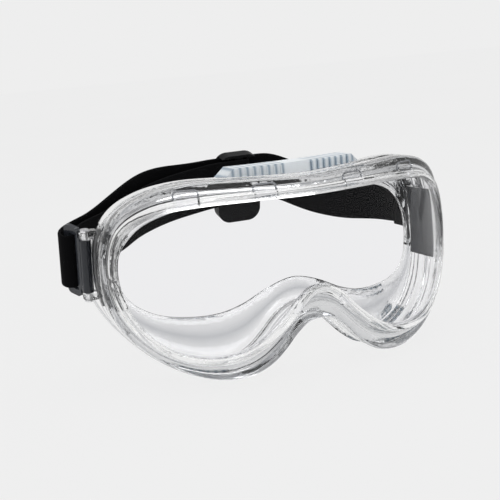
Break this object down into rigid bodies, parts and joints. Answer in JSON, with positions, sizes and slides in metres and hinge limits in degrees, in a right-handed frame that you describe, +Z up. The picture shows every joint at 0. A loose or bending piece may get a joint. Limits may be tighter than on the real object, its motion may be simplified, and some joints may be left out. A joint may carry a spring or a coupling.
{
  "type": "safety goggles",
  "caption": "Clear wrap-around splash goggles: soft vented frame, curved lens, hinged strap clips and a wide elastic headband with a slider buckle.",
  "frame": {"origin": "on the surface that the goggles stand on, under the middle of the whole object", "axes": "+Z up; the lens faces -Y; +X is the wearer's left"},
  "size_m": [0.187, 0.1528, 0.0902],
  "materials": {
    "frame": "clear flexible vinyl, glossy",
    "lens": "clear polished polycarbonate",
    "vent": "pale translucent, ribbed",
    "clip": "smoky translucent",
    "pin": "clear, polished ends",
    "slider": "black, fine grain",
    "band": "black woven elastic"
  },
  "bodies": {
    "goggle": {"frame_body": "frame", "lens": "lens", "top_vent_cover": "vent", "lower_vent_left": "vent", "lower_vent_right": "vent", "anchor_plate_left": "clip", "anchor_plate_right": "clip", "hinge_pin_left": "pin", "hinge_pin_right": "pin", "headband": "band"},
    "clip_left": {"strap_clip_left": "clip"},
    "clip_right": {"strap_clip_right": "clip"},
    "slider": {"slider_buckle": "slider"}
  },
  "joints": [
    {"name": "clip_left_swivel", "type": "hinge", "parent": "goggle", "child": "clip_left", "pos_m": [0.0839, -0.01272, 0.05153], "axis": [0, -0.2419, 0.9703], "range_deg": [-30, 0], "deforming": ["headband"]},
    {"name": "clip_right_swivel", "type": "hinge", "parent": "goggle", "child": "clip_right", "pos_m": [-0.0839, -0.01272, 0.05153], "axis": [0, -0.2419, 0.9703], "range_deg": [0, 30], "deforming": ["headband"]},
    {"name": "slider_travel", "type": "slide", "parent": "goggle", "child": "slider", "axis": [1, 0, 0], "range_m": [-0.008, 0.006], "deforming": ["headband"]}
  ]
}
